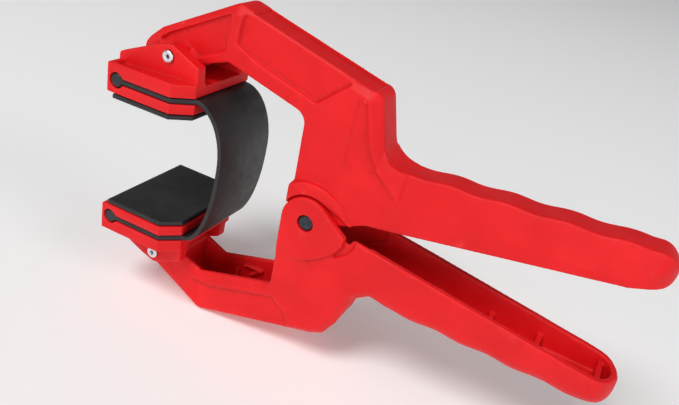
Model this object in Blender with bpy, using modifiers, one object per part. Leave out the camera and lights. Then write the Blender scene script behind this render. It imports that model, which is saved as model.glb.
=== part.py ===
"""Plastic spring clamp with swivelling jaws and a rubber edge band.

Two moulded levers turn on a steel pivot pin and a torsion spring closes them. Each
lever carries a jaw on a tubular rivet, and a thick rubber band is strung between the
jaws, held by a bead in a keyhole slot in each, so that it presses on a board's edge.

The frame: the origin is the centre of the lower jaw's pad face, +X runs towards the
handles, +Y across the clamp and +Z from the lower jaw to the upper. The levers stand
where a stack OPENING thick holds them. Sizes are in millimetres.
"""
import math

import bmesh
import bpy
from mathutils import Matrix

MM = 0.001
GAP = 0.3  # between faces of neighbouring pieces
OVERRUN = 10.0  # how far a cutter runs past the wall it cuts
ARC_STEP = 15.0  # degrees between the points of an arc

# The jaws and what they carry
OPENING = 38.0  # between the pad faces
JAW_HALF_LENGTH = 15.5
JAW_HALF_WIDTH = 21.0
JAW_CORNER = 5.8  # the 45 degree cut at the handle side
JAW_BASE = 2.0  # the jaw's own underside, above the pad face
JAW_TOP = 12.3
PAD_THICKNESS = 1.7
PAD_BACK = -13.3
SLOT_HEIGHT = 6.6  # the slot's middle, above the pad face
SLOT_WIDTH = 2.2
KEYHOLE_X = -11.9
KEYHOLE_RADIUS = 2.7
EAR_INNER = 9.9
EAR_OUTER = 14.3
LEDGE_RIM = 1.6
RIVET_X = 3.2
RIVET_HEIGHT = 18.1
RIVET_RADIUS = 1.6
RIVET_HEAD = 2.1
RIVET_HOLLOW = 0.85

# The band
BAND_THICKNESS = 1.6
BAND_BOW = 11.3  # how far it stands out of the jaws' ends
BAND_PEAK = 26.0  # the height at which it stands out furthest

# The levers
PIVOT_X = 58.8
PIVOT_Z = 15.8
PIVOT_RADIUS = 2.6
PIVOT_HALF_LENGTH = 9.7
LUG_RADIUS = 9.0
CHEEK_RADIUS = 8.8
COLLAR_INNER = 9.5
COLLAR_OUTER = 14.0
STOP_ANGLE = 13.0  # how far the levers open from here
UPPER_HALF = 7.5
UPPER_GRIP_HALF = 8.8
LOWER_HALF = 9.5
LUG_HALF = 10.3
CHEEK_SPACE = 7.9  # half the gap between the lugs
LUG_TANGENT = 52.0  # where the lug's round meets its straight edge
EDGE_CUT = 2.0  # the levers' bevelled edges
BOSS_HALF = 9.6
BOSS_RADIUS = 4.0
WAVE_START = 100.0  # a crest of the finger grip
WAVE_PITCH = 17.3
WAVE_DEPTH = 0.35
RIB_THICKNESS = 1.6
RIB_HEIGHT = 5.0
UPPER_RIBS = (87.0, 104.0, 121.0, 138.0, 155.0)
LOWER_RIBS = (85.5, 99.0, 104.0, 122.0, 138.0, 157.5)

# The spring
WIRE = 2.3
COIL_RADIUS = 5.6
COIL_TURNS = 2.0
COIL_PITCH = 2.65
LEG_LENGTH = 26.0

PARTS = "spring_clamp"
CUTTERS = "cutters"


def clear_scene():
    for item in list(bpy.data.objects):
        bpy.data.objects.remove(item, do_unlink=True)


def collection(name):
    found = bpy.data.collections.new(name)
    bpy.context.scene.collection.children.link(found)
    return found


def material(name, colour, roughness, metallic=0.0):
    made = bpy.data.materials.new(name)
    made.use_nodes = True
    shader = made.node_tree.nodes["Principled BSDF"]
    shader.inputs["Base Color"].default_value = (*colour, 1.0)
    shader.inputs["Roughness"].default_value = roughness
    shader.inputs["Metallic"].default_value = metallic
    return made


# Outlines: lists of (x, z) points


def arc(centre_x, centre_z, radius, start, end):
    """Points along an arc, from one angle in degrees to another."""
    steps = max(2, math.ceil(abs(end - start) / ARC_STEP))
    points = []
    for i in range(steps + 1):
        angle = math.radians(start + (end - start) * i / steps)
        points.append((centre_x + radius * math.cos(angle), centre_z + radius * math.sin(angle)))
    return points


def rounded(corners):
    """The outline through corners (x, z, radius), each rounded to its radius."""
    points = []
    for i, (x, z, radius) in enumerate(corners):
        if radius == 0:
            points.append((x, z))
            continue
        ax, az = corners[i - 1][:2]
        bx, bz = corners[(i + 1) % len(corners)][:2]
        before = math.atan2(az - z, ax - x)
        after = math.atan2(bz - z, bx - x)
        turn = (after - before + math.pi) % (2 * math.pi) - math.pi
        reach = radius / abs(math.tan(turn / 2))
        middle = before + turn / 2
        away = radius / abs(math.sin(turn / 2))
        centre_x = x + away * math.cos(middle)
        centre_z = z + away * math.sin(middle)
        start_x = x + reach * math.cos(before)
        start_z = z + reach * math.sin(before)
        start = math.degrees(math.atan2(start_z - centre_z, start_x - centre_x))
        sweep = math.copysign(180 - abs(math.degrees(turn)), -turn)
        points += arc(centre_x, centre_z, radius, start, start + sweep)
    return points


def wave(start, end, height, slope, sign, steps=32):
    """The finger-grip edge of a handle: a low wave on a sloping line."""
    points = []
    for i in range(steps + 1):
        x = start + (end - start) * i / steps
        ripple = WAVE_DEPTH * math.cos(2 * math.pi * (x - WAVE_START) / WAVE_PITCH)
        points.append((x, height + slope * (x - WAVE_START) + sign * ripple))
    return points


def mirrored(outline):
    """The same outline for the lower jaw."""
    return [(x, OPENING - z) for x, z in reversed(outline)]


# Solids


def prism(name, outline, matrix):
    """The solid between z = -1 and z = 1 over an outline, carried to its place by matrix."""
    shape = bmesh.new()
    low = [shape.verts.new((a, b, -1.0)) for a, b in outline]
    high = [shape.verts.new((a, b, 1.0)) for a, b in outline]
    shape.faces.new(low)
    shape.faces.new(high)
    for i in range(len(outline)):
        shape.faces.new((low[i - 1], low[i], high[i], high[i - 1]))
    bmesh.ops.transform(shape, matrix=matrix, verts=shape.verts)
    bmesh.ops.recalc_face_normals(shape, faces=shape.faces)
    mesh = bpy.data.meshes.new(name)
    shape.to_mesh(mesh)
    shape.free()
    made = bpy.data.objects.new(name, mesh)
    bpy.context.scene.collection.objects.link(made)
    return made


def plate(name, outline, half, y=0.0, cut=0.0):
    """A flat solid across the clamp, centred on y, with its rim cut at 45 degrees."""
    matrix = (
        Matrix.Translation((0.0, y * MM, 0.0))
        @ Matrix.Rotation(math.pi / 2, 4, "X")
        @ Matrix.Diagonal((MM, MM, half * MM, 1.0))
    )
    made = prism(name, outline, matrix)
    if cut > 0:
        bevel = made.modifiers.new("edge_cut", "BEVEL")
        bevel.limit_method = "ANGLE"
        bevel.angle_limit = math.radians(60)
        bevel.width = cut * MM
        bevel.segments = 1
        bevel.use_clamp_overlap = False
    return made


def slab(name, outline, low, high):
    """A flat solid lying in the XY plane, between two heights."""
    middle = (low + high) / 2 * MM
    size = Matrix.Diagonal((MM, MM, (high - low) / 2 * MM, 1.0))
    return prism(name, outline, Matrix.Translation((0.0, 0.0, middle)) @ size)


def solid_from_curve(name, curve, matrix):
    """A closed mesh object made from a curve, with its matrix applied."""
    guide = bpy.data.objects.new(name, curve)
    bpy.context.scene.collection.objects.link(guide)
    depsgraph = bpy.context.evaluated_depsgraph_get()
    mesh = bpy.data.meshes.new_from_object(guide.evaluated_get(depsgraph))
    bpy.data.objects.remove(guide, do_unlink=True)
    shape = bmesh.new()
    shape.from_mesh(mesh)
    bmesh.ops.remove_doubles(shape, verts=shape.verts, dist=1e-6)
    bmesh.ops.recalc_face_normals(shape, faces=shape.faces)
    bmesh.ops.transform(shape, matrix=matrix, verts=shape.verts)
    shape.to_mesh(mesh)
    shape.free()
    made = bpy.data.objects.new(name, mesh)
    bpy.context.scene.collection.objects.link(made)
    return made


def rod(name, x, z, radius, half, y=0.0, sides=32):
    """A cylinder across the clamp."""
    shape = bmesh.new()
    turn = Matrix.Translation((x * MM, y * MM, z * MM)) @ Matrix.Rotation(math.pi / 2, 4, "X")
    bmesh.ops.create_cone(
        shape,
        cap_ends=True,
        segments=sides,
        radius1=radius * MM,
        radius2=radius * MM,
        depth=2 * half * MM,
        matrix=turn,
    )
    mesh = bpy.data.meshes.new(name)
    shape.to_mesh(mesh)
    shape.free()
    made = bpy.data.objects.new(name, mesh)
    bpy.context.scene.collection.objects.link(made)
    return made


def combine(base, tool, operation):
    """Joins or cuts base with tool, and keeps the tool hidden among the cutters."""
    change = base.modifiers.new(tool.name, "BOOLEAN")
    change.operation = operation
    change.object = tool
    tool.hide_render = True
    tool.display_type = "WIRE"
    for holder in list(tool.users_collection):
        holder.objects.unlink(tool)
    bpy.data.collections[CUTTERS].objects.link(tool)


def add(base, *tools):
    for tool in tools:
        combine(base, tool, "UNION")


def cut(base, *tools):
    for tool in tools:
        combine(base, tool, "DIFFERENCE")


def keep(item, look):
    """Puts a finished piece in the clamp's collection, in its material."""
    for holder in list(item.users_collection):
        holder.objects.unlink(item)
    bpy.data.collections[PARTS].objects.link(item)
    item.data.materials.clear()
    item.data.materials.append(look)
    return item


# The levers


def ribs(lever, name, places, root, slope, height, half):
    """Adds ribs across a handle's channel, standing on a line through root at WAVE_START."""
    for i, x in enumerate(places):
        z = root + slope * (x - WAVE_START)
        far = x + RIB_THICKNESS
        outline = [(x, z), (far, z), (far, z + height), (x, z + height)]
        add(lever, plate(f"{name}_{i}", outline, half))


def upper_lever(look):
    """Tip, C-shaped arm, cheeks at the pivot, collars round the lugs, and an open-bottomed handle."""
    top = wave(89.0, 157.0, 43.9, 0.063, 1.0)
    end = rounded([(150.0, 46.9, 0), (166.8, 48.2, 6.5), (166.2, 37.6, 3.4), (150.0, 34.7, 0)])[1:-1]
    back = rounded(
        [
            (-7.2, 61.5, 0),
            (21.5, 77.2, 4.0),
            (73.6, 63.9, 4.0),
            (79.3, 42.6, 8.5),
            (100.0, 43.9, 0),
        ]
    )[1:-1]
    tip = rounded(
        [
            (21.0, 58.3, 0),
            (12.0, 54.9, 3.0),
            (7.6, 51.4, 3.0),
            (-3.0, 51.2, 3.0),
            (-15.4, 54.0, 2.6),
            (-7.2, 61.5, 3.0),
            (21.5, 77.2, 0),
        ]
    )[1:-1]
    lip = rounded([(100.0, 27.0, 0), (78.2, 22.0, 2.0), (73.2, 19.6, 2.0), (67.0, 17.2, 0)])[1:-1]
    cheek = arc(PIVOT_X, PIVOT_Z, CHEEK_RADIUS, 10.0, -180.0)
    inside = rounded(
        [
            (PIVOT_X - CHEEK_RADIUS, 16.0, 0),
            (PIVOT_X - CHEEK_RADIUS, 24.0, 2.0),
            (50.9, 28.0, 2.0),
            (50.9, 50.4, 4.5),
            (21.0, 58.3, 2.0),
            (12.0, 54.9, 0),
        ]
    )[1:-1]
    lever = plate("upper_lever", tip + back + top + end + lip + cheek + inside, UPPER_HALF, cut=EDGE_CUT)

    grip_root = rounded([(100.0, 27.0, 0), (79.5, 22.6, 3.5), (76.5, 43.6, 6.0), (89.0, 43.3, 0)])[1:-1]
    grip = plate("upper_grip", grip_root + top + end, UPPER_GRIP_HALF, cut=EDGE_CUT + 0.4)
    ring = arc(PIVOT_X, PIVOT_Z, COLLAR_OUTER, 128.0, 22.0)
    ring += [(73.4, 19.7)]
    ring += arc(PIVOT_X, PIVOT_Z, COLLAR_INNER, LUG_TANGENT + STOP_ANGLE, 155.0)
    collars = [plate(f"upper_collar_{side:+.0f}", ring, 1.15, y=side * 8.55) for side in (-1, 1)]
    bosses = rod("upper_boss", RIVET_X, OPENING + RIVET_HEIGHT, BOSS_RADIUS, BOSS_HALF)
    add(lever, grip, *collars, bosses)

    ceiling = rounded(
        [
            (11.8, 0.0, 0),
            (11.8, 68.2, 1.0),
            (21.8, 73.7, 2.0),
            (70.9, 61.2, 2.0),
            (76.6, 39.6, 6.0),
            (120.0, 41.6, 0),
            (162.8, 44.2, 3.0),
            (162.8, 0.0, 0),
        ]
    )
    cut(lever, plate("upper_channel", ceiling, 5.2))
    grip_channel = [(82.0, 0.0), (82.0, 39.7), (120.0, 41.6), (162.0, 44.1), (162.0, 0.0)]
    cut(lever, plate("upper_grip_channel", grip_channel, 6.1))
    ribs(lever, "upper_rib", UPPER_RIBS, 41.4, 0.061, -RIB_HEIGHT, 6.8)
    cut(lever, rod("upper_pivot_bore", PIVOT_X, PIVOT_Z, PIVOT_RADIUS + GAP, LOWER_HALF + OVERRUN))
    cut(lever, rod("upper_rivet_bore", RIVET_X, OPENING + RIVET_HEIGHT, RIVET_RADIUS + GAP, OVERRUN * 2))
    return keep(lever, look)


def lower_lever(look):
    """Tip, arm, two lugs at the pivot, and a handle open on top."""
    tip = rounded(
        [
            (49.8, -12.9, 0),
            (20.5, -21.1, 2.0),
            (12.0, -17.5, 3.0),
            (7.6, -13.4, 3.0),
            (-3.0, -13.2, 3.0),
            (-15.4, -16.0, 2.6),
            (-7.2, -23.5, 3.0),
            (20.7, -38.6, 3.0),
            (67.5, -26.3, 3.0),
            (71.8, -24.2, 2.5),
            (75.6, -18.0, 2.5),
            (79.3, -6.2, 3.0),
            (84.6, -2.9, 2.5),
            (100.0, -2.6, 0),
        ]
    )[1:-1]
    under = wave(91.0, 155.0, -4.9, -0.02, -1.0)
    end = rounded([(150.0, -5.9, 0), (164.5, -5.6, 4.6), (164.2, 3.1, 2.6), (76.6, 16.4, 0)])[1:-1]
    top = rounded(
        [
            (164.2, 3.1, 0),
            (76.2, 16.4, 3.0),
            (68.0, 6.0, 6.0),
            (49.8, 2.0, 3.0),
            (49.8, -12.9, 2.5),
            (20.5, -21.1, 0),
        ]
    )[1:-1]
    outline = tip + under + end + top
    lever = plate("lower_lever", outline, LOWER_HALF, cut=EDGE_CUT)

    side = PIVOT_X - LUG_RADIUS
    root = [(side, 15.0, 0), (side, -10.0, 1.0), (57.0, 0.8, 4.0), (74.0, 8.5, 1.0), (76.0, 15.9, 1.0)]
    stop = [(74.2, 13.2, 0.8), (73.3, 15.9, 0.5), (66.0, 22.0, 0)]
    lug = rounded(root + stop)[1:-1] + arc(PIVOT_X, PIVOT_Z, LUG_RADIUS, LUG_TANGENT, 180.0)
    half = (LUG_HALF - CHEEK_SPACE) / 2 + GAP
    middle = LUG_HALF - half
    add(lever, *[plate(f"lug_{side:+.0f}", lug, half, y=side * middle) for side in (-1, 1)])

    floor = rounded(
        [
            (11.8, 60.0, 0),
            (11.8, -28.6, 2.0),
            (20.9, -35.3, 2.0),
            (66.6, -23.2, 2.0),
            (72.6, -17.2, 3.0),
            (76.5, -5.0, 3.0),
            (83.5, -0.3, 3.0),
            (100.0, -1.6, 0),
            (161.2, -2.8, 2.0),
            (161.2, 60.0, 0),
        ]
    )
    cut(lever, plate("lower_channel", floor, 7.2))
    space = [(44.0, 3.0), (66.0, 3.0), (82.0, 11.0), (82.0, 40.0), (44.0, 40.0)]
    cut(lever, plate("cheek_space", space, CHEEK_SPACE))
    ribs(lever, "lower_rib", LOWER_RIBS, -2.2, -0.02, RIB_HEIGHT, 7.6)
    cut(lever, rod("lower_pivot_bore", PIVOT_X, PIVOT_Z, PIVOT_RADIUS + GAP, LUG_HALF + OVERRUN))
    cut(lever, rod("lower_rivet_bore", RIVET_X, -RIVET_HEIGHT, RIVET_RADIUS + GAP, OVERRUN * 2))
    return keep(lever, look)


# The jaws


def jaw_plan(back, front, half_width, corner):
    """A jaw from above: a rectangle with its two corners at the handle side cut."""
    return [
        (back, -half_width),
        (front - corner, -half_width),
        (front, -half_width + corner),
        (front, half_width - corner),
        (front - corner, half_width),
        (back, half_width),
    ]


def heights(low, high, upper):
    """A pair of heights above a pad face, in the frame of either jaw."""
    if upper:
        return OPENING + low, OPENING + high
    return -high, -low


def jaw_plate(name, outline, half, upper, y=0.0):
    """A plate drawn with heights above the pad face, for either jaw."""
    raised = [(x, OPENING + z) for x, z in outline]
    return plate(name, raised if upper else mirrored(raised), half, y=y)


def jaw(name, upper, look):
    """A block with two ears for the rivet and a keyhole slot for the band's bead."""
    plan = jaw_plan(-JAW_HALF_LENGTH, JAW_HALF_LENGTH, JAW_HALF_WIDTH, JAW_CORNER)
    block = slab(name, plan, *heights(JAW_BASE, JAW_TOP, upper))

    ear = rounded(
        [
            (-16.8, 9.3, 0),
            (-16.8, 14.0, 1.2),
            (-1.9, 20.6, 3.0),
            (3.6, 22.4, 3.0),
            (14.9, 17.4, 1.0),
            (15.2, 9.3, 0),
        ]
    )
    ledge = [(22.0, JAW_TOP + 0.1), (-14.0, 10.7), (-14.0, 14.0), (22.0, 14.0)]
    ear_middle = (EAR_INNER + EAR_OUTER) / 2
    ledge_outer = JAW_HALF_WIDTH - LEDGE_RIM
    for side in (-1, 1):
        trough = jaw_plate(
            f"{name}_ledge_{side:+.0f}",
            ledge,
            (ledge_outer - ear_middle) / 2,
            upper,
            y=side * (ledge_outer + ear_middle) / 2,
        )
        cut(block, trough)
    pocket = [(20.0, 11.3), (-20.0, 9.85), (-20.0, 15.0), (20.0, 15.0)]
    cut(block, jaw_plate(f"{name}_pocket", pocket, ear_middle + 0.5, upper))
    half = (EAR_OUTER - EAR_INNER) / 2
    for side in (-1, 1):
        add(block, jaw_plate(f"{name}_ear_{side:+.0f}", ear, half, upper, y=side * ear_middle))

    half_slot = SLOT_WIDTH / 2
    mouth = math.degrees(math.asin(half_slot / KEYHOLE_RADIUS))
    keyhole = arc(KEYHOLE_X, SLOT_HEIGHT, KEYHOLE_RADIUS, mouth, 360 - mouth)
    beyond = JAW_HALF_LENGTH + OVERRUN
    keyhole += [(beyond, SLOT_HEIGHT - half_slot), (beyond, SLOT_HEIGHT + half_slot)]
    cut(block, jaw_plate(f"{name}_keyhole", keyhole, JAW_HALF_WIDTH + OVERRUN, upper))
    height = RIVET_HEIGHT + OPENING if upper else -RIVET_HEIGHT
    cut(block, rod(f"{name}_bore", RIVET_X, height, RIVET_RADIUS + GAP, EAR_OUTER + OVERRUN))
    return keep(block, look)


def pad(name, upper, look):
    plan = jaw_plan(PAD_BACK, JAW_HALF_LENGTH - GAP, JAW_HALF_WIDTH - GAP, JAW_CORNER)
    return keep(slab(name, plan, *heights(0.0, PAD_THICKNESS, upper)), look)


def rivet(name, upper, look):
    """A tubular rivet: a shank through both ears with a rolled head at each end."""
    height = RIVET_HEIGHT + OPENING if upper else -RIVET_HEIGHT
    shank = rod(name, RIVET_X, height, RIVET_RADIUS, EAR_OUTER + GAP + 0.5)
    half_head = 0.35
    seat = EAR_OUTER + GAP + half_head
    for side in (-1, 1):
        add(shank, rod(f"{name}_head_{side:+.0f}", RIVET_X, height, RIVET_HEAD, half_head, y=side * seat))
    cut(shank, rod(f"{name}_hollow", RIVET_X, height, RIVET_HOLLOW, EAR_OUTER + OVERRUN, sides=20))
    return keep(shank, look)


# The band, the pin and the spring


def band_path():
    """The band's middle line, from the upper jaw's slot to the lower jaw's."""
    points = []
    steps = 24
    top = OPENING + SLOT_HEIGHT
    for i in range(steps + 1):
        angle = math.pi * i / steps
        reach = BAND_PEAK + SLOT_HEIGHT if angle > math.pi / 2 else top - BAND_PEAK
        points.append((JAW_HALF_LENGTH + BAND_BOW * math.sin(angle), BAND_PEAK + reach * math.cos(angle)))
    return points


def band_outline():
    """The band seen from the side, with a straight stretch inside each jaw."""
    path = [(KEYHOLE_X, OPENING + SLOT_HEIGHT)] + band_path() + [(KEYHOLE_X, -SLOT_HEIGHT)]
    outer = []
    inner = []
    for i, (x, z) in enumerate(path):
        ax, az = path[max(i - 1, 0)]
        bx, bz = path[min(i + 1, len(path) - 1)]
        length = math.hypot(bx - ax, bz - az)
        shift_x = -(bz - az) / length * BAND_THICKNESS / 2
        shift_z = (bx - ax) / length * BAND_THICKNESS / 2
        outer.append((x + shift_x, z + shift_z))
        inner.append((x - shift_x, z - shift_z))
    return outer + inner[::-1]


def edge_band(look):
    half = JAW_HALF_WIDTH - GAP
    band = plate("edge_band", band_outline(), half)
    for i, z in enumerate((OPENING + SLOT_HEIGHT, -SLOT_HEIGHT)):
        add(band, rod(f"bead_{i}", KEYHOLE_X, z, KEYHOLE_RADIUS - GAP, half, sides=24))
    narrow = half - JAW_CORNER
    plan = [
        (-30.0, -half - OVERRUN),
        (JAW_HALF_LENGTH - JAW_CORNER - OVERRUN, -half - OVERRUN),
        (JAW_HALF_LENGTH - GAP, -narrow),
        (60.0, -narrow),
        (60.0, narrow),
        (JAW_HALF_LENGTH - GAP, narrow),
        (JAW_HALF_LENGTH - JAW_CORNER - OVERRUN, half + OVERRUN),
        (-30.0, half + OVERRUN),
    ]
    combine(band, slab("band_plan", plan, -30.0, 80.0), "INTERSECT")
    return keep(band, look)


def pivot_pin(look):
    return keep(rod("pivot_pin", PIVOT_X, PIVOT_Z, PIVOT_RADIUS, PIVOT_HALF_LENGTH, sides=40), look)


def torsion_spring(look):
    """A coil round the pivot pin, with a leg in each handle's channel."""
    lower_leg = math.radians(-24.0)
    upper_leg = math.radians(34.0)
    start = lower_leg - math.pi / 2
    sweep = 2 * math.pi * COIL_TURNS + (upper_leg - lower_leg) + math.pi
    half_run = COIL_PITCH * sweep / (2 * math.pi) / 2
    points = []
    steps = round(sweep / math.radians(20))
    for i in range(steps + 1):
        angle = start + sweep * i / steps
        across = -half_run + 2 * half_run * i / steps
        x = PIVOT_X + COIL_RADIUS * math.cos(angle)
        z = PIVOT_Z + COIL_RADIUS * math.sin(angle)
        points.append((x, across, z))
    x, y, z = points[0]
    points.insert(0, (x + LEG_LENGTH * math.cos(lower_leg), y, z + LEG_LENGTH * math.sin(lower_leg)))
    x, y, z = points[-1]
    points.append((x + LEG_LENGTH * math.cos(upper_leg), y, z + LEG_LENGTH * math.sin(upper_leg)))
    curve = bpy.data.curves.new("torsion_spring", "CURVE")
    curve.dimensions = "3D"
    curve.bevel_depth = WIRE / 2 * MM
    curve.bevel_resolution = 2
    curve.use_fill_caps = True
    spline = curve.splines.new("POLY")
    spline.points.add(len(points) - 1)
    for point, place in zip(spline.points, points):
        point.co = (*(value * MM for value in place), 1.0)
    return keep(solid_from_curve("torsion_spring", curve, Matrix.Identity(4)), look)


def main():
    clear_scene()
    collection(PARTS)
    collection(CUTTERS)
    red = material("red_nylon", (0.72, 0.02, 0.025), 0.38)
    rubber = material("black_rubber", (0.02, 0.02, 0.022), 0.55)
    dark_steel = material("dark_steel", (0.05, 0.055, 0.065), 0.4, 0.9)
    zinc = material("zinc_plate", (0.78, 0.8, 0.82), 0.3, 1.0)
    spring_steel = material("spring_steel", (0.35, 0.35, 0.36), 0.35, 1.0)
    upper_lever(red)
    lower_lever(red)
    pivot_pin(dark_steel)
    torsion_spring(spring_steel)
    for side, upper in (("upper", True), ("lower", False)):
        jaw(f"{side}_jaw", upper, red)
        pad(f"{side}_jaw_pad", upper, rubber)
        rivet(f"{side}_jaw_rivet", upper, zinc)
    edge_band(rubber)


main()
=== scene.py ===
"""The looks of the spring clamp: moulded levers and jaws, rubber band and pads, steel.

The moulded pieces are made as distance fields, in which the half width of a side, a
panel or a rim is a sum of simple terms, and each field is then turned into a mesh.
Sizes are in millimetres up to the point where a mesh is made.
"""
import math

import bmesh
import bpy
import numpy as np
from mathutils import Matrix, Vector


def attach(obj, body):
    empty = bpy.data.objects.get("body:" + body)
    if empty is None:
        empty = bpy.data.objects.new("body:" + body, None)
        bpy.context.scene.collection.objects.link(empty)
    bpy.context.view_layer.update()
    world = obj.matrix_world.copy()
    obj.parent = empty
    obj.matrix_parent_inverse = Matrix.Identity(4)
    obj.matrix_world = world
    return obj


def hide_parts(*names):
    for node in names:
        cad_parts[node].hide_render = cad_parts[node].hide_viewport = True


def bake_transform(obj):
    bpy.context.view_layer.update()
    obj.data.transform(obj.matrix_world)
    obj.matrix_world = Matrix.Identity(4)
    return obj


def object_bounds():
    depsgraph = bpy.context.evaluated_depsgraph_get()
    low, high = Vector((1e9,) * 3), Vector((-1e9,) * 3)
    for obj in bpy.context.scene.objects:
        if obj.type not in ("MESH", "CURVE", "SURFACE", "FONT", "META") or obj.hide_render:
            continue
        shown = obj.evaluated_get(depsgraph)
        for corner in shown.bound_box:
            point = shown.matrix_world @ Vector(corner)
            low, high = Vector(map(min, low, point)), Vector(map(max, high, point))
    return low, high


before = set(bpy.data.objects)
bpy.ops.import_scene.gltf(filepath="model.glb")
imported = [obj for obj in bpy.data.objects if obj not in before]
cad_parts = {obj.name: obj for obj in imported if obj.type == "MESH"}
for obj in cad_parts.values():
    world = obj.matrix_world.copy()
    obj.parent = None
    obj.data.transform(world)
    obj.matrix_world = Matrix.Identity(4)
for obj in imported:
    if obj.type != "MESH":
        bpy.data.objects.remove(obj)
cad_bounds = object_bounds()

import openvdb
from mathutils import Matrix, Vector

MM = 0.001
VOXEL = 0.32  # the grid on which a lever is made
JAW_VOXEL = 0.27
ADAPTIVITY = 0.015  # how far flat stretches are made of larger faces
ARC_STEP = 6.0  # degrees between the points of an arc

# Places and sizes that the CAD fixes
OPENING = 38.0
RIVET_X = 3.2
RIVET_HEIGHT = 18.1  # above the pad face
PIVOT_X = 58.8
PIVOT_Z = 15.8
LUG_RADIUS = 9.0
CHEEK_RADIUS = 8.8
COLLAR_INNER = 9.5
COLLAR_OUTER = 14.0
JAW_HALF_LENGTH = 15.5
JAW_HALF_WIDTH = 21.0
JAW_CORNER = 5.8
JAW_BASE = 2.0
JAW_TOP = 12.3
PAD_THICKNESS = 1.7
PAD_BACK = -13.3
SLOT_HEIGHT = 6.6
SLOT_WIDTH = 2.2
KEYHOLE_X = -11.9
KEYHOLE_RADIUS = 2.7
EAR_INNER = 9.9
EAR_OUTER = 14.3
BAND_THICKNESS = 1.6
BAND_BOW = 11.3
BAND_PEAK = 26.0
PIN_RADIUS = 2.6
PIN_BORE_RADIUS = 2.9
RIVET_RADIUS = 1.6
RIVET_BORE_RADIUS = 1.9
UPPER_ARM_HALF_WIDTH = 7.5
LOWER_ARM_HALF_WIDTH = 9.5
LUG_HALF_WIDTH = 10.3
LUG_SPACE_HALF_WIDTH = 7.9
COLLAR_HALF_WIDTH = 9.6
WAVE_START = 100.0
WAVE_PITCH = 17.3
UPPER_RIBS = (87.0, 104.0, 121.0, 138.0, 155.0)
LOWER_RIBS = (85.5, 99.0, 104.0, 122.0, 138.0, 157.5)
RIB_THICKNESS = 1.6

# Sizes of the finer detail
WAVE_DEPTH = 0.35
TIP_PANEL_DEPTH = 1.6
LONG_PANEL_DEPTH = 1.4
LOWER_PANEL_DEPTH = 1.1
STRIP_DEPTH = 0.6
SCOOP_DEPTH = 0.9
BOSS_RADIUS = 3.1
BOSS_HALF_WIDTH = 9.6
RIB_HEIGHT = 5.0  # to each side of the channel's bottom
RIB_COVER = 1.2  # of wall left outside a rib's ends
RIB_ROOT = 0.6  # of a rib's end inside the channel's wall
GUSSET_THICKNESS = 1.1
GUSSETS = (
    [(27.0, -33.0), (27.6, -24.4)],
    [(30.5, -21.6), (37.6, -21.4)],
    [(33.4, -24.6), (37.6, -21.4)],
)
GAP = 0.3  # from the band, a pad or a rivet's head to the jaw
BAND_UPPER_SEAM = 39.5  # the heights at which the band's three stretches meet
BAND_LOWER_SEAM = 2.5


# Outlines: lists of (x, z) points


def arc(centre_x, centre_z, radius, start, end):
    """Points from the angle start to the angle end, in degrees."""
    steps = max(2, math.ceil(abs(end - start) / ARC_STEP))
    points = []
    for i in range(steps + 1):
        angle = math.radians(start + (end - start) * i / steps)
        points.append((centre_x + radius * math.cos(angle), centre_z + radius * math.sin(angle)))
    return points


def rounded(corners):
    """The outline through corners (x, z, radius), each rounded to its radius."""
    points = []
    for i, (x, z, radius) in enumerate(corners):
        if radius == 0:
            points.append((x, z))
            continue
        ax, az = corners[i - 1][:2]
        bx, bz = corners[(i + 1) % len(corners)][:2]
        before = math.atan2(az - z, ax - x)
        after = math.atan2(bz - z, bx - x)
        turn = (after - before + math.pi) % (2 * math.pi) - math.pi
        reach = radius / abs(math.tan(turn / 2))
        middle = before + turn / 2
        away = radius / abs(math.sin(turn / 2))
        centre_x = x + away * math.cos(middle)
        centre_z = z + away * math.sin(middle)
        touch_x = x + reach * math.cos(before)
        touch_z = z + reach * math.sin(before)
        start = math.atan2(touch_z - centre_z, touch_x - centre_x)
        sweep = math.copysign(180 - abs(math.degrees(turn)), -turn)
        points += arc(centre_x, centre_z, radius, math.degrees(start), math.degrees(start) + sweep)
    return points


def wave(start, end, height, slope, sign):
    """A handle's wavy edge from x = start to x = end, with its mean height at WAVE_START."""
    steps = 72
    points = []
    for i in range(steps + 1):
        x = start + (end - start) * i / steps
        ripple = WAVE_DEPTH * math.cos(2 * math.pi * (x - WAVE_START) / WAVE_PITCH)
        points.append((x, height + slope * (x - WAVE_START) + sign * ripple))
    return points


# Fields: arrays over X, |Y| and Z, in millimetres, negative inside a solid


def path_distance(x, z, points, closed=False):
    """The distance from a line through points."""
    ends = points[1:] + points[:1] if closed else points[1:]
    nearest = np.float32(1e9)
    for (ax, az), (bx, bz) in zip(points, ends):
        ex = bx - ax
        ez = bz - az
        share = np.clip(((x - ax) * ex + (z - az) * ez) / max(ex * ex + ez * ez, 1e-9), 0, 1)
        nearest = np.minimum(nearest, (x - ax - ex * share) ** 2 + (z - az - ez * share) ** 2)
    return np.sqrt(nearest)


def outline_field(x, z, points):
    """The signed distance from a closed outline."""
    inside = np.zeros(np.broadcast(x, z).shape, bool)
    for (ax, az), (bx, bz) in zip(points, points[1:] + points[:1]):
        if az == bz:
            continue
        crossed = (az > z) != (bz > z)
        inside ^= crossed & (x < ax + (bx - ax) * (z - az) / (bz - az))
    distance = path_distance(x, z, points, closed=True)
    return np.where(inside, -distance, distance).astype(np.float32)


def both(a, b, radius=0.0):
    """The part that two solids share, with its edges rounded."""
    if radius == 0:
        return np.maximum(a, b)
    near = np.maximum(radius - np.abs(a - b), 0) / radius
    return np.maximum(a, b) + near * near * radius / 4


def either(a, b, radius=0.0):
    """Two solids joined, with a fillet where they meet."""
    return -both(-a, -b, radius)


def without(a, b, radius=0.0):
    """A solid less another one."""
    return both(a, -b, radius)


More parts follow.
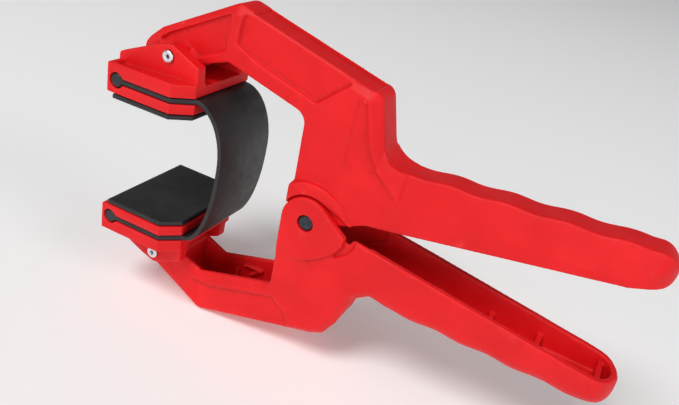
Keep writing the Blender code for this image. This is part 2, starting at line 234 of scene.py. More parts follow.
def step(value, low, high):
    """0 below low, 1 above high, and smooth between."""
    share = np.clip((value - low) / (high - low), 0, 1)
    return share * share * (3 - 2 * share)


def within(field, wall):
    """1 inside an outline, 0 outside, with a sloping wall of that width."""
    return 1 - step(field, -wall / 2, wall / 2)


def lerp(a, b, share):
    return a + (b - a) * share


def circle(x, z, centre_x, centre_z, radius):
    return np.hypot(x - centre_x, z - centre_z) - radius


def grid(low, high, half, voxel):
    """Coordinates over a box from low to high in X and Z, and from 0 to half in Y."""
    x = np.arange(low[0], high[0], voxel, dtype=np.float32)[:, None, None]
    y = np.arange(0, half, voxel, dtype=np.float32)[None, :, None]
    z = np.arange(low[1], high[1], voxel, dtype=np.float32)[None, None, :]
    return x, y, z


def mesh_of(name, field, low, voxel):
    """A mesh object from a field over one half of a symmetric solid."""
    full = np.concatenate((field[:, :0:-1, :], field), axis=1).astype(np.float32)
    reach = 3 * voxel
    volume = openvdb.FloatGrid(reach)
    volume.copyFromArray(np.ascontiguousarray(np.clip(full, -reach, reach)))
    points, triangles, quads = volume.convertToPolygons(0.0, ADAPTIVITY)
    places = points * voxel
    places[:, 0] += low[0]
    places[:, 1] -= (field.shape[1] - 1) * voxel
    places[:, 2] += low[1]
    mesh = bpy.data.meshes.new(name)
    mesh.from_pydata((places * MM).tolist(), [], triangles.tolist() + quads.tolist())
    shape = bmesh.new()
    shape.from_mesh(mesh)
    bmesh.ops.remove_doubles(shape, verts=shape.verts, dist=1e-7)
    bmesh.ops.recalc_face_normals(shape, faces=shape.faces)
    for face in shape.faces:
        face.smooth = True
    shape.to_mesh(mesh)
    shape.free()
    return place(name, mesh)


def smooth_piece(name, shape, sharp_angle):
    """The object of a bmesh, shaded smooth up to edges of that many degrees."""
    bmesh.ops.recalc_face_normals(shape, faces=shape.faces)
    mesh = bpy.data.meshes.new(name)
    shape.to_mesh(mesh)
    shape.free()
    mesh.shade_smooth()
    mesh.set_sharp_from_angle(angle=math.radians(sharp_angle))
    return place(name, mesh)


def place(name, data):
    made = bpy.data.objects.new(name, data)
    bpy.context.scene.collection.objects.link(made)
    return made


# What both levers have


def round_end(x, y, half_width, start, radius):
    """A side of a handle, which turns in to a round end of that radius from start on."""
    beyond = np.maximum(x - start, 0)
    turned_in = np.hypot(beyond, np.maximum(y - half_width + radius, 0)) - radius
    return np.where(x > start, turned_in, y - half_width)


def cross_rib(x, y, z, rib_x, middle_z, body, channel):
    """A rib across a handle's channel, from rib_x on, that runs into its walls but not through them."""
    plate = np.abs(x - rib_x - RIB_THICKNESS / 2) - RIB_THICKNESS / 2
    rib = both(plate, np.abs(z - middle_z) - RIB_HEIGHT)
    return both(both(rib, body + RIB_COVER), y - channel - RIB_ROOT)


# The upper lever


def upper_outline():
    """The outline in side view, and the outer stretch of it that is bevelled."""
    tip = rounded(
        [
            (21.0, 58.3, 0),
            (12.0, 54.9, 3.0),
            (7.6, 51.4, 3.0),
            (-3.0, 51.2, 3.0),
            (-15.4, 54.0, 2.6),
            (-7.2, 61.5, 3.0),
            (21.5, 77.2, 0),
        ]
    )[1:-1]
    back = rounded(
        [
            (-7.2, 61.5, 0),
            (21.5, 77.2, 4.0),
            (73.6, 63.9, 4.0),
            (79.3, 42.6, 8.5),
            (100.0, 43.9, 0),
        ]
    )[1:-1]
    top = wave(89.0, 157.0, 43.9, 0.063, 1.0)
    end = rounded([(150.0, 46.9, 0), (166.8, 48.2, 6.5), (166.2, 37.6, 3.4), (150.0, 34.7, 0)])[1:-1]
    lip = rounded([(100.0, 27.0, 0), (78.2, 22.0, 2.0), (73.2, 19.6, 2.0), (67.0, 17.2, 0)])[1:-1]
    cheek = arc(PIVOT_X, PIVOT_Z, CHEEK_RADIUS, 10.0, -180.0)
    left = PIVOT_X - CHEEK_RADIUS
    inside = rounded(
        [
            (left, 16.0, 0),
            (left, 24.0, 2.0),
            (50.9, 28.0, 2.0),
            (50.9, 50.4, 4.5),
            (21.0, 58.3, 2.0),
            (12.0, 54.9, 0),
        ]
    )[1:-1]
    nose_top = tip[-8:]
    end_above_lip = end[:-4]
    return tip + back + top + end + lip + cheek + inside, nose_top + back + top + end_above_lip


def upper_arm_side(x, z, edge):
    """The arm's half width: a bevelled edge, two panels and a sunk strip down the upright."""
    tip_panel = rounded(
        [
            (-7.4, 57.4, 1),
            (-3.2, 61.2, 1),
            (20.2, 73.9, 0.8),
            (19.2, 61.4, 1),
            (8.6, 56.2, 1),
            (6.4, 57.9, 1),
        ]
    )
    long_panel = rounded(
        [
            (24.4, 74.5, 0),
            (23.4, 64.9, 1),
            (32.7, 60.9, 2),
            (53.8, 55.2, 1),
            (64.2, 64.6, 0.5),
            (40.0, 76.0, 0),
        ]
    )
    side = UPPER_ARM_HALF_WIDTH - TIP_PANEL_DEPTH * within(outline_field(x, z, tip_panel), 1.0)
    side = side - LONG_PANEL_DEPTH * within(outline_field(x, z, long_panel), 0.8)
    from_crease = x - 66.0 - 0.03 * (z - 50.0)
    strip_depth = STRIP_DEPTH * step(from_crease, 0.0, 1.2) * step(edge, 3.8, 4.8)
    side = side - strip_depth * step(z, 33.0, 42.0) * (1 - step(z, 59.0, 63.5))
    bevel = 5.1 + 0.8 * edge
    return either(side, bevel, 0.3)


def upper_side(x, z, edge):
    """The half width from the tip to the handle's end."""
    side = upper_arm_side(x, z, edge)

    # The handle is narrow at the top and spreads to its flank, which runs down to the rim
    top_bevel = 4.9 + 0.9 * edge
    facet = 5.0 + 0.34 * edge
    flank = np.maximum(8.7 - 0.04 * edge, 7.9)
    grip_side = either(top_bevel, either(facet, flank, 0.1), 0.3)

    # A three-cornered facet lies across the corner between the upright and the handle
    across = 0.57 * (79.2 - x) + 0.82 * (49.8 - z)
    corner_facet = 4.9 + (0.39 + 0.009 * (x - 79.0)) * across
    spread = lerp(side, flank, np.clip((x - 77.0) / 10.0, 0, 1))
    corner = lerp(corner_facet, spread, step(across, 7.9, 8.5))
    side = lerp(side, corner, step(x - 77.0 - 0.26 * (z - 41.3), -0.4, 0.4))
    return lerp(side, grip_side, step(x, 86.3, 87.5))


def collar(x, y, z):
    """The raised band round the lugs, lower where it runs out on the handle."""
    ring = arc(PIVOT_X, PIVOT_Z, COLLAR_OUTER, 128.0, 22.0) + [(73.4, 19.7)]
    ring += arc(PIVOT_X, PIVOT_Z, COLLAR_INNER, 64.7, 155.0)
    around = outline_field(x, z, ring)
    fade = 1.2 * step(x, 58.0, 72.0)
    band = both(around, y - COLLAR_HALF_WIDTH + fade * step(around, -4.0, 0.0), 0.8)
    return both(band, 6.8 - y)


def upper_lever():
    low = (-15.0, 5.0)
    x, y, z = grid(low, (168.6, 79.0), 10.6, VOXEL)
    outline, outer_edge = upper_outline()
    profile = outline_field(x, z, outline)
    side = upper_side(x, z, path_distance(x, z, outer_edge))

    # The arm's outer face is a little lower between its two edges
    sunk = within(y - 5.1, 0.6) * step(x, 26.4, 27.2) * (1 - step(x, 70.4, 71.6)) * step(z, 50.0, 54.0)
    body = both(profile + 0.9 * sunk, round_end(x, y, side, start=160.0, radius=6.4), 0.7)

    ceiling = rounded(
        [
            (11.8, -20.0, 0),
            (11.8, 68.2, 1.5),
            (21.8, 73.7, 2.0),
            (70.9, 61.2, 2.0),
            (76.6, 39.6, 6.0),
            (120.0, 41.6, 0),
            (163.4, 44.2, 4.0),
            (163.4, -20.0, 0),
        ]
    )
    channel = lerp(5.2, side - 2.3, step(x, 77.0, 88.0))
    solid = without(body, both(outline_field(x, z, ceiling), y - channel, 1.0), 0.5)
    for rib_x in UPPER_RIBS:
        roof = 42.6 + 0.061 * (rib_x - 120.0)
        solid = either(solid, cross_rib(x, y, z, rib_x, roof, body, channel), 0.5)
    solid = either(solid, collar(x, y, z), 0.9)

    rivet_z = OPENING + RIVET_HEIGHT
    boss = both(circle(x, z, RIVET_X, rivet_z, BOSS_RADIUS), y - BOSS_HALF_WIDTH, 0.4)
    solid = either(solid, boss, 0.4)
    solid = without(solid, circle(x, z, PIVOT_X, PIVOT_Z, PIN_BORE_RADIUS), 0.3)
    solid = without(solid, circle(x, z, RIVET_X, rivet_z, RIVET_BORE_RADIUS), 0.3)
    return mesh_of("upper_lever_moulding", solid, low, VOXEL)


# The lower lever


def lower_outline():
    """The outline in side view, and the outer stretch of it that is bevelled."""
    tip = rounded(
        [
            (49.8, -12.9, 0),
            (20.5, -21.1, 2.0),
            (12.0, -17.5, 3.0),
            (7.6, -13.4, 3.0),
            (-3.0, -13.2, 3.0),
            (-15.4, -16.0, 2.6),
            (-7.2, -23.5, 3.0),
            (20.7, -38.6, 3.0),
            (67.5, -26.3, 3.0),
            (71.8, -24.2, 2.5),
            (75.6, -18.0, 2.5),
            (79.3, -6.2, 3.0),
            (84.6, -2.9, 2.5),
            (100.0, -2.6, 0),
        ]
    )[1:-1]
    under = wave(91.0, 155.0, -4.9, -0.02, -1.0)
    end = rounded([(150.0, -5.9, 0), (164.5, -5.6, 4.6), (164.2, 3.1, 2.0), (76.2, 16.4, 0)])[1:-1]
    top = rounded(
        [
            (164.2, 3.1, 0),
            (76.2, 16.4, 1.5),
            (73.9, 12.9, 0.8),
            (73.3, 15.9, 0.8),
            (66.0, 22.0, 0),
        ]
    )[1:-1]
    lug = arc(PIVOT_X, PIVOT_Z, LUG_RADIUS, 52.0, 180.0)
    throat = rounded([(49.8, 15.0, 0), (49.8, -12.9, 2.5), (20.5, -21.1, 0)])[1:-1]
    nose = next(i for i, point in enumerate(tip) if point[0] < -12.0)
    end_below_rim = end[:-6]
    return tip + under + end + top + lug + throat, tip[nose:] + under + end_below_rim


def lower_side(x, z, edge, on_grip):
    """The half width from the tip to the handle's end."""
    # The arm has one large panel, and draws in a little along its inner edge
    panel = rounded(
        [
            (14.0, -25.2, 0),
            (25.4, -25.4, 3),
            (51.2, -17.6, 3),
            (57.4, -22.2, 4),
            (61.5, -34.0, 0),
            (20.0, -46.0, 0),
            (10.0, -40.0, 0),
        ]
    )
    panel_field = outline_field(x, z, panel)
    side = LOWER_ARM_HALF_WIDTH - LOWER_PANEL_DEPTH * within(panel_field, 0.8) * step(x, 16.6, 20.8)
    rim = path_distance(x, z, [(-3.0, -13.2), (7.6, -13.4), (12.0, -17.5), (20.5, -21.1), (48.0, -13.4)])
    side = side - 0.7 * step(3.6 - rim, 0.0, 3.6) * (1 - step(x, 46.0, 51.0))
    bevel = 7.4 + 0.85 * edge
    grip_bevel = 5.8 + 1.0 * edge
    grip_flank = 8.05 + 0.09 * edge
    side = lerp(either(side, bevel, 0.6), either(grip_bevel, grip_flank, 1.8), on_grip)

    # The lug stands out, softly from the arm and sharply from the handle
    lug = outline_field(
        x,
        z,
        [
            (45.0, 40.0),
            (66.0, 40.0),
            (66.0, 21.6),
            (73.4, 15.9),
            (72.9, 12.6),
            (70.2, 8.6),
            (65.6, 5.0),
            (61.0, 2.4),
            (56.0, 1.2),
            (45.0, 2.0),
        ],
    )
    soft = lerp(7.0, 0.7, step(x, 52.0, 62.0))
    side = lerp(side, LUG_HALF_WIDTH, within(lug, soft))

    # A shallow scoop lies beside the lug
    scoop = outline_field(
        x,
        z,
        [
            (72.9, 12.2),
            (73.6, 18.0),
            (77.4, 18.0),
            (76.8, 13.4),
            (74.6, 10.0),
            (70.6, 7.2),
            (70.4, 8.9),
        ],
    )
    return side - SCOOP_DEPTH * within(scoop, 0.7) * (1 - within(lug, 0.7))


def lower_cavity(x, y, z, channel):
    """The channel along the arm and the handle, and the space between the lugs."""
    floor_line = rounded(
        [
            (11.8, 60.0, 0),
            (11.8, -28.6, 2.0),
            (20.9, -35.3, 2.0),
            (66.6, -23.2, 2.0),
            (72.6, -17.2, 3.0),
            (76.5, -5.0, 3.0),
            (83.5, -0.3, 3.0),
            (100.0, -1.6, 0),
            (161.9, -2.8, 2.0),
            (161.9, 60.0, 0),
        ]
    )
    cavity = both(outline_field(x, z, floor_line), y - channel, 1.0)
    cavity = both(cavity, round_end(x, y, channel, start=156.2, radius=5.4))
    space = outline_field(x, z, [(44.0, 3.0), (66.0, 3.0), (82.0, 11.0), (82.0, 40.0), (44.0, 40.0)])
    return either(cavity, both(space, y - LUG_SPACE_HALF_WIDTH, 0.4))


def lower_lever():
    low = (-15.0, -41.0)
    x, y, z = grid(low, (166.6, 27.0), 11.4, VOXEL)
    outline, outer_edge = lower_outline()
    profile = outline_field(x, z, outline)
    on_grip = step(x, 74.0, 92.0)
    side = lower_side(x, z, path_distance(x, z, outer_edge), on_grip)
    body = both(profile, round_end(x, y, side, start=156.6, radius=7.6), 0.7)

    channel = lerp(7.2, side - 2.2, on_grip)
    solid = without(body, lower_cavity(x, y, z, channel), 0.6)
    for rib_x in LOWER_RIBS:
        bottom = -2.2 - 0.02 * (rib_x - 100.0)
        solid = either(solid, cross_rib(x, y, z, rib_x, bottom, body, channel), 0.5)
    for gusset_line in GUSSETS:
        gusset = path_distance(x, z, gusset_line) - GUSSET_THICKNESS / 2
        gusset = np.maximum(both(gusset, body + 1.0), 5.9 - y)
        solid = either(solid, gusset, 0.5)
    solid = without(solid, circle(x, z, PIVOT_X, PIVOT_Z, PIN_BORE_RADIUS), 0.4)
    solid = without(solid, circle(x, z, RIVET_X, -RIVET_HEIGHT, RIVET_BORE_RADIUS), 0.3)
    return mesh_of("lower_lever_moulding", solid, low, VOXEL)


# The jaws


def plan_field(x, y, back, front, half_width, corner):
    """A jaw's plan: a rectangle with its two corners at the handle side cut."""
    sides = np.maximum(np.maximum(back - x, x - front), y - half_width)
    return np.maximum(sides, (x + y - front - half_width + corner) / math.sqrt(2))


def jaw(name, upper):
    """A jaw as it stands on its pad's face: the block, two ears and the keyhole slot."""
    low = (-18.0, 0.5)
    x, y, height = grid(low, (17.0, 23.6), 22.4, JAW_VOXEL)
    plan = plan_field(x, y, -JAW_HALF_LENGTH, JAW_HALF_LENGTH, JAW_HALF_WIDTH, JAW_CORNER)
    block = both(plan, np.maximum(JAW_BASE - height, height - JAW_TOP), 0.7)

    # The top has a trough outside each ear, deepest away from the handles, and a pocket between them
    trough_floor = lerp(10.7, JAW_TOP + 0.2, step(x, -14.0, 19.0))
    trough = np.maximum(np.maximum(y - JAW_HALF_WIDTH + 1.7, EAR_INNER - y), trough_floor - height)
    trough = both(trough, -14.0 - x, 0.4)
    solid = without(block, trough, 0.5)
    pocket_floor = 9.85 + 0.036 * (x + 20.0)
    pocket = np.maximum(y - EAR_INNER, pocket_floor - height)
    solid = without(solid, pocket, 0.4)

    ear = outline_field(
        x,
        height,
        rounded(
            [
                (-16.8, 9.3, 0),
                (-16.8, 14.0, 1.2),
                (-1.9, 20.6, 3.0),
                (3.6, 22.4, 3.0),
                (14.9, 17.4, 1.0),
                (15.2, 9.3, 0),
            ]
        ),
    )
    ears = both(ear, np.maximum(y - EAR_OUTER, EAR_INNER - y), 0.8)
    solid = either(solid, ears, 0.5)

    slot = np.maximum(np.abs(height - SLOT_HEIGHT) - SLOT_WIDTH / 2, KEYHOLE_X - x)
    keyhole = either(slot, circle(x, height, KEYHOLE_X, SLOT_HEIGHT, KEYHOLE_RADIUS), 0.6)
    solid = without(solid, keyhole, 0.35)
    solid = without(solid, circle(x, height, RIVET_X, RIVET_HEIGHT, RIVET_BORE_RADIUS), 0.3)
    return to_jaw(mesh_of(name, solid, low, JAW_VOXEL), upper)


def to_jaw(piece, upper):
    """Carries a piece drawn above a pad face to the upper jaw, or turns it over to the lower one."""
    if upper:
        piece.data.transform(Matrix.Translation((0, 0, OPENING * MM)))
    else:
        piece.data.transform(Matrix.Diagonal((1, 1, -1, 1)))
        piece.data.flip_normals()
    return piece


def pad(name, upper):
    low = (-15.0, -0.8)
    x, y, height = grid(low, (17.0, 2.4), 22.4, JAW_VOXEL)
    front = JAW_HALF_LENGTH - GAP
    plan = plan_field(x, y, PAD_BACK, front, JAW_HALF_WIDTH - GAP, JAW_CORNER)
    solid = both(plan, np.maximum(-height, height - PAD_THICKNESS), 0.5)
    return to_jaw(mesh_of(name, solid, low, JAW_VOXEL), upper)


# Turned steel pieces


def turned(name, profile, x, z, sides=64):
    """A closed solid of revolution about a line across the clamp: profile holds (radius, y) points."""
    shape = bmesh.new()
    rings = []
    for radius, y in profile:
        if radius == 0:
            rings.append([shape.verts.new((x * MM, y * MM, z * MM))] * sides)
            continue
        ring = []
        for i in range(sides):
            angle = 2 * math.pi * i / sides
            spot = (x + radius * math.cos(angle), y, z + radius * math.sin(angle))
            ring.append(shape.verts.new([value * MM for value in spot]))
        rings.append(ring)
    closed = profile[0][0] > 0
    count = len(rings) if closed else len(rings) - 1
    for i in range(count):
        first = rings[i]
        second = rings[(i + 1) % len(rings)]
        for j in range(sides):
            k = (j + 1) % sides
            corners = [first[j], first[k], second[k], second[j]]
            shape.faces.new(list(dict.fromkeys(corners)))
    return smooth_piece(name, shape, 35)


def pivot_pin():
    """A pin with broken edges and a shallow dished end."""
    half = [
        (PIN_RADIUS, 0.0),
        (PIN_RADIUS, 9.25),
        (2.55, 9.45),
        (2.4, 9.6),
        (2.15, 9.66),
        (1.9, 9.6),
        (1.7, 9.45),
        (0.0, 9.4),
    ]
    profile = [(r, -y) for r, y in half[:0:-1]] + half
    return turned("pivot_pin_steel", profile, PIVOT_X, PIVOT_Z)


def rivet(name, upper):
    """A tubular rivet with its ends rolled over."""
    seat = EAR_OUTER + GAP
    outer = [
        (RIVET_RADIUS, seat),
        (2.02, seat + 0.04),
        (2.1, seat + 0.2),
        (1.98, seat + 0.46),
        (1.65, seat + 0.66),
        (1.25, seat + 0.7),
        (0.9, seat + 0.58),
        (0.7, seat + 0.3),
        (0.62, seat - 0.4),
    ]
    profile = [(r, -y) for r, y in outer[::-1]] + outer
    height = OPENING + RIVET_HEIGHT if upper else -RIVET_HEIGHT
    return turned(name, profile, RIVET_X, height, sides=40)


# The band and the spring


def band_path():
    """The band's middle line outside the jaws."""
    points = []
    steps = 96
    top = OPENING + SLOT_HEIGHT
    for i in range(steps + 1):
        angle = math.pi * i / steps
        reach = BAND_PEAK + SLOT_HEIGHT if angle > math.pi / 2 else top - BAND_PEAK
        x = JAW_HALF_LENGTH + BAND_BOW * math.sin(angle)
        points.append((x, BAND_PEAK + reach * math.cos(angle)))
    return points


def strip(name, path):
    """A stretch of the band, with rounded edges, along a path of (x, z)."""
    half = BAND_THICKNESS / 2
    rounding = 0.35
    shape = bmesh.new()
    rings = []
    for i, (x, z) in enumerate(path):
        ax, az = path[max(i - 1, 0)]
        bx, bz = path[min(i + 1, len(path) - 1)]
        length = math.hypot(bx - ax, bz - az)
        nx = -(bz - az) / length
        nz = (bx - ax) / length
        wide = band_half_width(x)
        section = []
        for side_y, side_n in ((1, 1), (-1, 1), (-1, -1), (1, -1)):
            first = (side_y * wide, side_n * (half - rounding))
            second = (side_y * (wide - rounding), side_n * half)
            mid = (side_y * (wide - 0.3 * rounding), side_n * (half - 0.3 * rounding))
            section += [first, mid, second] if side_y == side_n else [second, mid, first]
        places = [((x + nx * n) * MM, y * MM, (z + nz * n) * MM) for y, n in section]
        rings.append([shape.verts.new(spot) for spot in places])
    for first, second in zip(rings, rings[1:]):
        for j in range(len(first)):
            shape.faces.new((first[j - 1], first[j], second[j], second[j - 1]))
    shape.faces.new(rings[0])
    shape.faces.new(rings[-1])
    return smooth_piece(name, shape, 50)


def band_half_width(x):
    """Full width inside the jaws, narrowing along the jaws' cut corners."""
    full = JAW_HALF_WIDTH - GAP
    cut_from = JAW_HALF_LENGTH - JAW_CORNER
    return full - min(max(x - cut_from, 0.0), JAW_CORNER)


def bands():
    """The band in three stretches that meet end to end, one for each pair of bodies it joins."""
    path = band_path()
    top = OPENING + SLOT_HEIGHT
    steps = 28
    inside = [KEYHOLE_X + (JAW_HALF_LENGTH - KEYHOLE_X) * i / steps for i in range(steps)]
    upper_end = next(i for i, point in enumerate(path) if point[1] < BAND_UPPER_SEAM)
    lower_end = next(i for i, point in enumerate(path) if point[1] < BAND_LOWER_SEAM)
    upper = [(x, top) for x in inside] + path[: upper_end + 1]
    middle = path[upper_end : lower_end + 1]
    lower = path[lower_end:] + [(x, -SLOT_HEIGHT) for x in reversed(inside)]
    upper_piece = strip("edge_band_upper", upper)
    add_bead(upper_piece, top)
    middle_piece = strip("edge_band_middle", middle)
    lower_piece = strip("edge_band_lower", lower)
    add_bead(lower_piece, -SLOT_HEIGHT)
    return upper_piece, middle_piece, lower_piece


def add_bead(piece, z):
    """Joins the round bead along the band's end to its strip."""
    radius = KEYHOLE_RADIUS - GAP
    half = JAW_HALF_WIDTH - GAP
    chamfer = 0.4
    profile = [
        (0.0, -half),
        (radius - chamfer, -half),
        (radius, -half + chamfer),
        (radius, half - chamfer),
        (radius - chamfer, half),
        (0.0, half),
    ]
    bead = turned("bead", profile, KEYHOLE_X, z, sides=40)
    union = piece.modifiers.new("bead", "BOOLEAN")
    union.operation = "UNION"
    union.object = bead
    depsgraph = bpy.context.evaluated_depsgraph_get()
    joined = bpy.data.meshes.new_from_object(piece.evaluated_get(depsgraph))
    piece.modifiers.clear()
    piece.data = joined
    bpy.data.objects.remove(bead, do_unlink=True)


def torsion_spring():
    """The coil round the pivot pin and its two legs, as wire of a round section."""
    wire = 2.3
    coil_radius = 5.6
    pitch = 2.65
    leg = 26.0
    lower_leg = math.radians(-24.0)
    upper_leg = math.radians(34.0)
    start = lower_leg - math.pi / 2
    full_turns = 2.0
    sweep = 2 * math.pi * full_turns + (upper_leg - lower_leg) + math.pi
    half_run = pitch * sweep / (2 * math.pi) / 2
    points = []
    steps = round(sweep / math.radians(8))
    for i in range(steps + 1):
        angle = start + sweep * i / steps
        x = PIVOT_X + coil_radius * math.cos(angle)
        z = PIVOT_Z + coil_radius * math.sin(angle)
        points.append((x, -half_run + 2 * half_run * i / steps, z))
    x, y, z = points[0]
    points.insert(0, (x + leg * math.cos(lower_leg), y, z + leg * math.sin(lower_leg)))
    x, y, z = points[-1]
    points.append((x + leg * math.cos(upper_leg), y, z + leg * math.sin(upper_leg)))
    curve = bpy.data.curves.new("torsion_spring_wire", "CURVE")
    curve.dimensions = "3D"
    curve.bevel_depth = wire / 2 * MM
    curve.bevel_resolution = 5
    curve.use_fill_caps = True
    spline = curve.splines.new("POLY")
    spline.points.add(len(points) - 1)
    for point, spot in zip(spline.points, points):
        point.co = (*(value * MM for value in spot), 1.0)
    guide = place("guide", curve)
    depsgraph = bpy.context.evaluated_depsgraph_get()
    mesh = bpy.data.meshes.new_from_object(guide.evaluated_get(depsgraph))
    bpy.data.objects.remove(guide, do_unlink=True)
    shape = bmesh.new()
    shape.from_mesh(mesh)
    bmesh.ops.remove_doubles(shape, verts=shape.verts, dist=1e-6)
    shape.to_mesh(mesh)
    shape.free()
    mesh.shade_smooth()
    mesh.set_sharp_from_angle(angle=math.radians(50))
    return place("torsion_spring_wire", mesh), half_run


# Materials


def node_material(name):
    made = bpy.data.materials.new(name)
    made.use_nodes = True
    return made, made.node_tree.nodes, made.node_tree.links


def add_noise(nodes, links, scale, detail=3.0):
    place_in = nodes.new("ShaderNodeTexCoord")
    noise = nodes.new("ShaderNodeTexNoise")
    noise.inputs["Scale"].default_value = scale
    noise.inputs["Detail"].default_value = detail
    links.new(place_in.outputs["Object"], noise.inputs["Vector"])
    return noise.outputs["Fac"]


def add_ramp(nodes, links, source, low, high, start=0.35, end=0.65):
    ramp = nodes.new("ShaderNodeValToRGB")
    ramp.color_ramp.elements[0].position = start
    ramp.color_ramp.elements[1].position = end
    ramp.color_ramp.elements[0].color = (*low, 1.0)
    ramp.color_ramp.elements[1].color = (*high, 1.0)
    links.new(source, ramp.inputs["Fac"])
    return ramp.outputs["Color"]


def add_range(nodes, links, source, low, high):
    mapping = nodes.new("ShaderNodeMapRange")
    mapping.inputs["From Min"].default_value = 0.3
    mapping.inputs["From Max"].default_value = 0.7
    mapping.inputs["To Min"].default_value = low
    mapping.inputs["To Max"].default_value = high
    links.new(source, mapping.inputs["Value"])
    return mapping.outputs["Result"]


def add_mix(nodes, links, blend, first, second):
    mix = nodes.new("ShaderNodeMix")
    mix.data_type = "RGBA"
    mix.blend_type = blend
    mix.inputs[0].default_value = 1.0
    colours = [socket for socket in mix.inputs if socket.type == "RGBA"]
    links.new(first, colours[0])
    links.new(second, colours[1])
    return next(socket for socket in mix.outputs if socket.type == "RGBA")


def add_bump(nodes, links, source, distance, strength=1.0):
    bump = nodes.new("ShaderNodeBump")
    bump.inputs["Distance"].default_value = distance
    bump.inputs["Strength"].default_value = strength
    links.new(source, bump.inputs["Height"])
    return bump.outputs["Normal"]


def moulded_red():
    """Red nylon with a fine grain, with a painted highlight on its edges and painted shade in its
    corners.
    """
    made, nodes, links = node_material("red_nylon")
    shader = nodes["Principled BSDF"]
    cloud = add_noise(nodes, links, 60.0)
    body = add_ramp(nodes, links, cloud, (0.74, 0.004, 0.007), (0.84, 0.007, 0.011))
    form = nodes.new("ShaderNodeNewGeometry").outputs["Pointiness"]
    # Painted shade: this Pointiness ramp darkens concave corners and creases.
    corner = add_ramp(nodes, links, form, (0.62, 0.5, 0.5), (1.0, 1.0, 1.0), 0.44, 0.495)
    shaded_in_corners = add_mix(nodes, links, "MULTIPLY", body, corner)
    # Painted highlight: this Pointiness ramp lightens convex edges and rims.
    painted_edge_highlight = add_ramp(nodes, links, form, (0.0, 0.0, 0.0), (0.08, 0.035, 0.035), 0.515, 0.62)
    links.new(add_mix(nodes, links, "ADD", shaded_in_corners, painted_edge_highlight), shader.inputs["Base Color"])
    sheen = add_noise(nodes, links, 220.0)
    links.new(add_range(nodes, links, sheen, 0.5, 0.6), shader.inputs["Roughness"])
    grain = add_noise(nodes, links, 2600.0, 2.0)
    links.new(add_bump(nodes, links, grain, 0.00003, 0.35), shader.inputs["Normal"])
    shader.inputs["Specular IOR Level"].default_value = 0.3
    return made


def rubber():
    """Black rubber with a faint brown bloom and a soft sheen."""
    made, nodes, links = node_material("black_rubber")
    shader = nodes["Principled BSDF"]
    cloud = add_noise(nodes, links, 90.0)
    tone = add_ramp(nodes, links, cloud, (0.012, 0.011, 0.012), (0.022, 0.019, 0.020))
    links.new(tone, shader.inputs["Base Color"])
    sheen = add_noise(nodes, links, 300.0)
    links.new(add_range(nodes, links, sheen, 0.42, 0.55), shader.inputs["Roughness"])
    grain = add_noise(nodes, links, 3500.0, 2.0)
    links.new(add_bump(nodes, links, grain, 0.00003, 0.4), shader.inputs["Normal"])
    return made


def metal(name, low, high, roughness):
    """A plain metal between two tones, finely speckled."""
    made, nodes, links = node_material(name)
    shader = nodes["Principled BSDF"]
    shader.inputs["Metallic"].default_value = 1.0
    speckle = add_noise(nodes, links, 900.0)
    links.new(add_ramp(nodes, links, speckle, low, high), shader.inputs["Base Color"])
    links.new(add_range(nodes, links, speckle, roughness, roughness + 0.12), shader.inputs["Roughness"])
    links.new(add_bump(nodes, links, speckle, 0.00003, 0.4), shader.inputs["Normal"])
    return made


def blackened_steel():
    """Steel under a bluish black finish, rubbed through in specks."""
    made, nodes, links = node_material("dark_steel")
    shader = nodes["Principled BSDF"]
    shader.inputs["Metallic"].default_value = 0.6
    speckle = add_noise(nodes, links, 1300.0)
    tone = add_ramp(nodes, links, speckle, (0.018, 0.024, 0.034), (0.055, 0.07, 0.09))
    links.new(tone, shader.inputs["Base Color"])
    links.new(add_range(nodes, links, speckle, 0.32, 0.5), shader.inputs["Roughness"])
    links.new(add_bump(nodes, links, speckle, 0.00006, 0.5), shader.inputs["Normal"])
    return made


def dress(piece, look):
    piece.data.materials.clear()
    piece.data.materials.append(look)


# The camera, the floor and the lights


def camera():
    """In front of the clamp and above it, towards the handles, and a little rolled."""
    azimuth = math.radians(21.08)
    elevation = math.radians(27.14)
    roll = math.radians(12.11)
    forward = Vector(
        (
            -math.sin(azimuth) * math.cos(elevation),
            math.cos(azimuth) * math.cos(elevation),
            -math.sin(elevation),
        )
    )
    right = Vector((math.cos(azimuth), math.sin(azimuth), 0.0))
    up = right.cross(forward)
    across = math.cos(roll) * right + math.sin(roll) * up
    upward = -math.sin(roll) * right + math.cos(roll) * up
    data = bpy.data.cameras.new("camera")
    data.lens = 37.86
    data.clip_start = 0.01
    made = place("camera", data)
    turn = Matrix((across, upward, -forward)).transposed().to_4x4()
    position = Vector((0.140455, -0.195178, 0.129606))
    made.matrix_world = Matrix.Translation(position) @ turn
    bpy.context.scene.camera = made


def floor():
    mesh = bpy.data.meshes.new("floor")
    half = 12.0
    gap = 0.0004
    z = cad_bounds[0][2] - gap
    corners = [(-half, -half, z), (half, -half, z), (half, half, z), (-half, half, z)]
    mesh.from_pydata(corners, [], [(0, 1, 2, 3)])
    made = place("floor", mesh)
    look, nodes, links = node_material("floor")
    shader = nodes["Principled BSDF"]
    shader.inputs["Base Color"].default_value = (0.96, 0.96, 0.96, 1.0)
    shader.inputs["Roughness"].default_value = 0.9
    shader.inputs["Emission Color"].default_value = (1.0, 1.0, 1.0, 1.0)
    shader.inputs["Emission Strength"].default_value = 0.15
    mesh.materials.append(look)


def area_light(name, place_at, target, size, power):
    data = bpy.data.lights.new(name, "AREA")
    data.shape = "DISK"
    data.size = size
    data.energy = power
    made = place(name, data)
    made.location = place_at
    aim = Vector(target) - Vector(place_at)
    made.rotation_euler = aim.to_track_quat("-Z", "Y").to_euler()


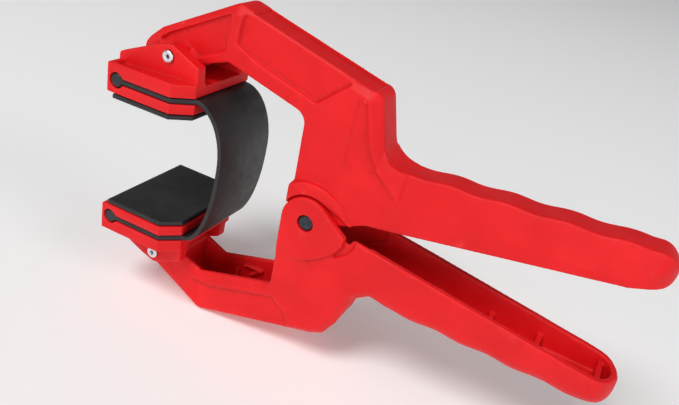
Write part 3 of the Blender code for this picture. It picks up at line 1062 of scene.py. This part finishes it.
def lights():
    """Three soft lamps, and a room that is bright at the horizon and dim overhead."""
    middle = (0.07, 0.0, 0.02)
    area_light("key", (-0.35, -1.35, 2.05), middle, 1.0, 36.0)
    area_light("front", (0.65, -2.30, 0.62), middle, 1.0, 7.5)
    area_light("right", (2.10, -0.50, 1.30), middle, 1.0, 11.0)
    world = bpy.data.worlds.new("studio")
    world.use_nodes = True
    nodes = world.node_tree.nodes
    links = world.node_tree.links
    nodes["Background"].inputs["Color"].default_value = (1.0, 1.0, 1.0, 1.0)
    direction = nodes.new("ShaderNodeTexCoord")
    parts = nodes.new("ShaderNodeSeparateXYZ")
    fade = nodes.new("ShaderNodeMapRange")
    fade.inputs["From Min"].default_value = 0.1
    fade.inputs["From Max"].default_value = 0.5
    fade.inputs["To Min"].default_value = 0.6
    fade.inputs["To Max"].default_value = 0.08
    links.new(direction.outputs["Generated"], parts.inputs["Vector"])
    links.new(parts.outputs["Z"], fade.inputs["Value"])
    links.new(fade.outputs["Result"], nodes["Background"].inputs["Strength"])
    bpy.context.scene.world = world
    bpy.context.scene.view_settings.view_transform = "Standard"


def build():
    red = moulded_red()
    black = rubber()
    dark = blackened_steel()
    zinc = metal("zinc_plate", (0.70, 0.74, 0.76), (0.86, 0.9, 0.91), 0.38)
    wire = metal("spring_steel", (0.12, 0.12, 0.125), (0.25, 0.25, 0.26), 0.32)

    piece = upper_lever()
    dress(piece, red)
    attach(piece, "upper_lever")
    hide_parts("upper_lever")

    piece = lower_lever()
    dress(piece, red)
    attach(piece, "lower_lever")
    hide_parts("lower_lever")

    for side, upper in (("upper", True), ("lower", False)):
        piece = jaw(f"{side}_jaw_moulding", upper)
        dress(piece, red)
        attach(piece, f"{side}_jaw")
        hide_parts(f"{side}_jaw")
        piece = pad(f"{side}_jaw_pad_rubber", upper)
        dress(piece, black)
        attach(piece, f"{side}_jaw")
        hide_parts(f"{side}_jaw_pad")
        piece = rivet(f"{side}_jaw_rivet_tube", upper)
        dress(piece, zinc)
        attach(piece, f"{side}_jaw")
        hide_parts(f"{side}_jaw_rivet")

    piece = pivot_pin()
    dress(piece, dark)
    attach(piece, "lower_lever")
    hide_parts("pivot_pin")

    top, middle, bottom = bands()
    for piece in (top, middle, bottom):
        dress(piece, black)
    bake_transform(top)
    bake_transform(middle)
    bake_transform(bottom)
    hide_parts("edge_band")

    piece, half_run = torsion_spring()
    dress(piece, wire)
    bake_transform(piece)
    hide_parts("torsion_spring")


camera()
floor()
lights()
build()
